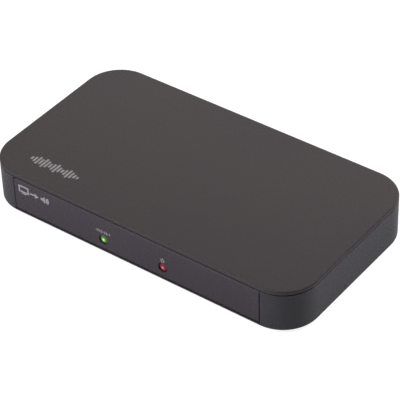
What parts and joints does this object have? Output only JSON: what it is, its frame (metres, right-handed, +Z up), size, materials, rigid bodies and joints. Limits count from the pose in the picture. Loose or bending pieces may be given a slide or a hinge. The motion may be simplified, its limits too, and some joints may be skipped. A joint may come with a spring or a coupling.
{
  "type": "hdmi audio extractor",
  "caption": "Flat rounded desktop box that splits the sound off a video link, with front indicators, rear sockets, a slide switch and rubber feet.",
  "frame": {"origin": "centre of the surface that the rubber feet stand on, under the middle of the case", "axes": "+X across the case to the right as seen from the front, +Y from the front panel to the rear panel, +Z up"},
  "size_m": [0.11, 0.0606, 0.0151],
  "materials": {
    "case_plastic": "fine moulded grain, satin",
    "panel_plastic": "fine moulded grain, slightly smoother than the case",
    "foot_rubber": "matte",
    "screw_steel": "black zinc",
    "board_laminate": "solder mask",
    "green_epoxy": "lit green epoxy",
    "red_epoxy": "lit red epoxy",
    "tinned_metal": "tinned",
    "nickel_shell": "nickel plated, satin",
    "insert_plastic": "moulded",
    "contact_gold": "gold flash",
    "jack_plastic": "moulded",
    "flap_plastic": "moulded",
    "knob_plastic": "moulded",
    "chip_epoxy": "moulded, fine grain",
    "sink_aluminium": "anodised",
    "thermal_silicone": "soft pad",
    "choke_ferrite": "pressed powder",
    "can_aluminium": "drawn can",
    "ceramic_body": "ceramic"
  },
  "bodies": {
    "case": {"top_cover": "case_plastic", "base_tray": "case_plastic", "front_panel": "panel_plastic", "rear_panel": "panel_plastic", "rubber_feet": "foot_rubber", "case_screws": "screw_steel", "board_screws": "tinned_metal", "circuit_board": "board_laminate", "green_led": "green_epoxy", "red_led": "red_epoxy", "led_leads": "tinned_metal", "video_input_shell": "nickel_shell", "video_input_insert": "insert_plastic", "video_input_contacts": "contact_gold", "video_output_shell": "nickel_shell", "video_output_insert": "insert_plastic", "video_output_contacts": "contact_gold", "power_inlet_shell": "nickel_shell", "power_inlet_insert": "insert_plastic", "optical_jack_housing": "jack_plastic", "optical_emitter": "jack_plastic", "optical_emitter_pins": "tinned_metal", "audio_jack_body": "jack_plastic", "audio_jack_ring": "nickel_shell", "mode_switch_housing": "nickel_shell", "main_chip": "chip_epoxy", "thermal_pad": "thermal_silicone", "heat_sink": "sink_aluminium", "audio_chip": "chip_epoxy", "controller_chip": "chip_epoxy", "memory_chip": "chip_epoxy", "regulator": "chip_epoxy", "power_inductor": "choke_ferrite", "capacitors": "can_aluminium", "crystal": "tinned_metal", "chip_parts": "ceramic_body"},
    "optical_flap": {"optical_jack_flap": "flap_plastic"},
    "switch_knob": {"mode_switch_knob": "knob_plastic"}
  },
  "joints": [
    {"name": "optical_flap_hinge", "type": "hinge", "parent": "case", "child": "optical_flap", "pos_m": [-0.02421, 0.02895, 0.011], "axis": [-1, 0, 0], "range_deg": [0, 88], "stiffness_Nm_per_rad": 0.0001, "springref_deg": -34.38},
    {"name": "mode_switch_slide", "type": "slide", "parent": "case", "child": "switch_knob", "axis": [-1, 0, 0], "range_m": [0, 0.002]}
  ]
}
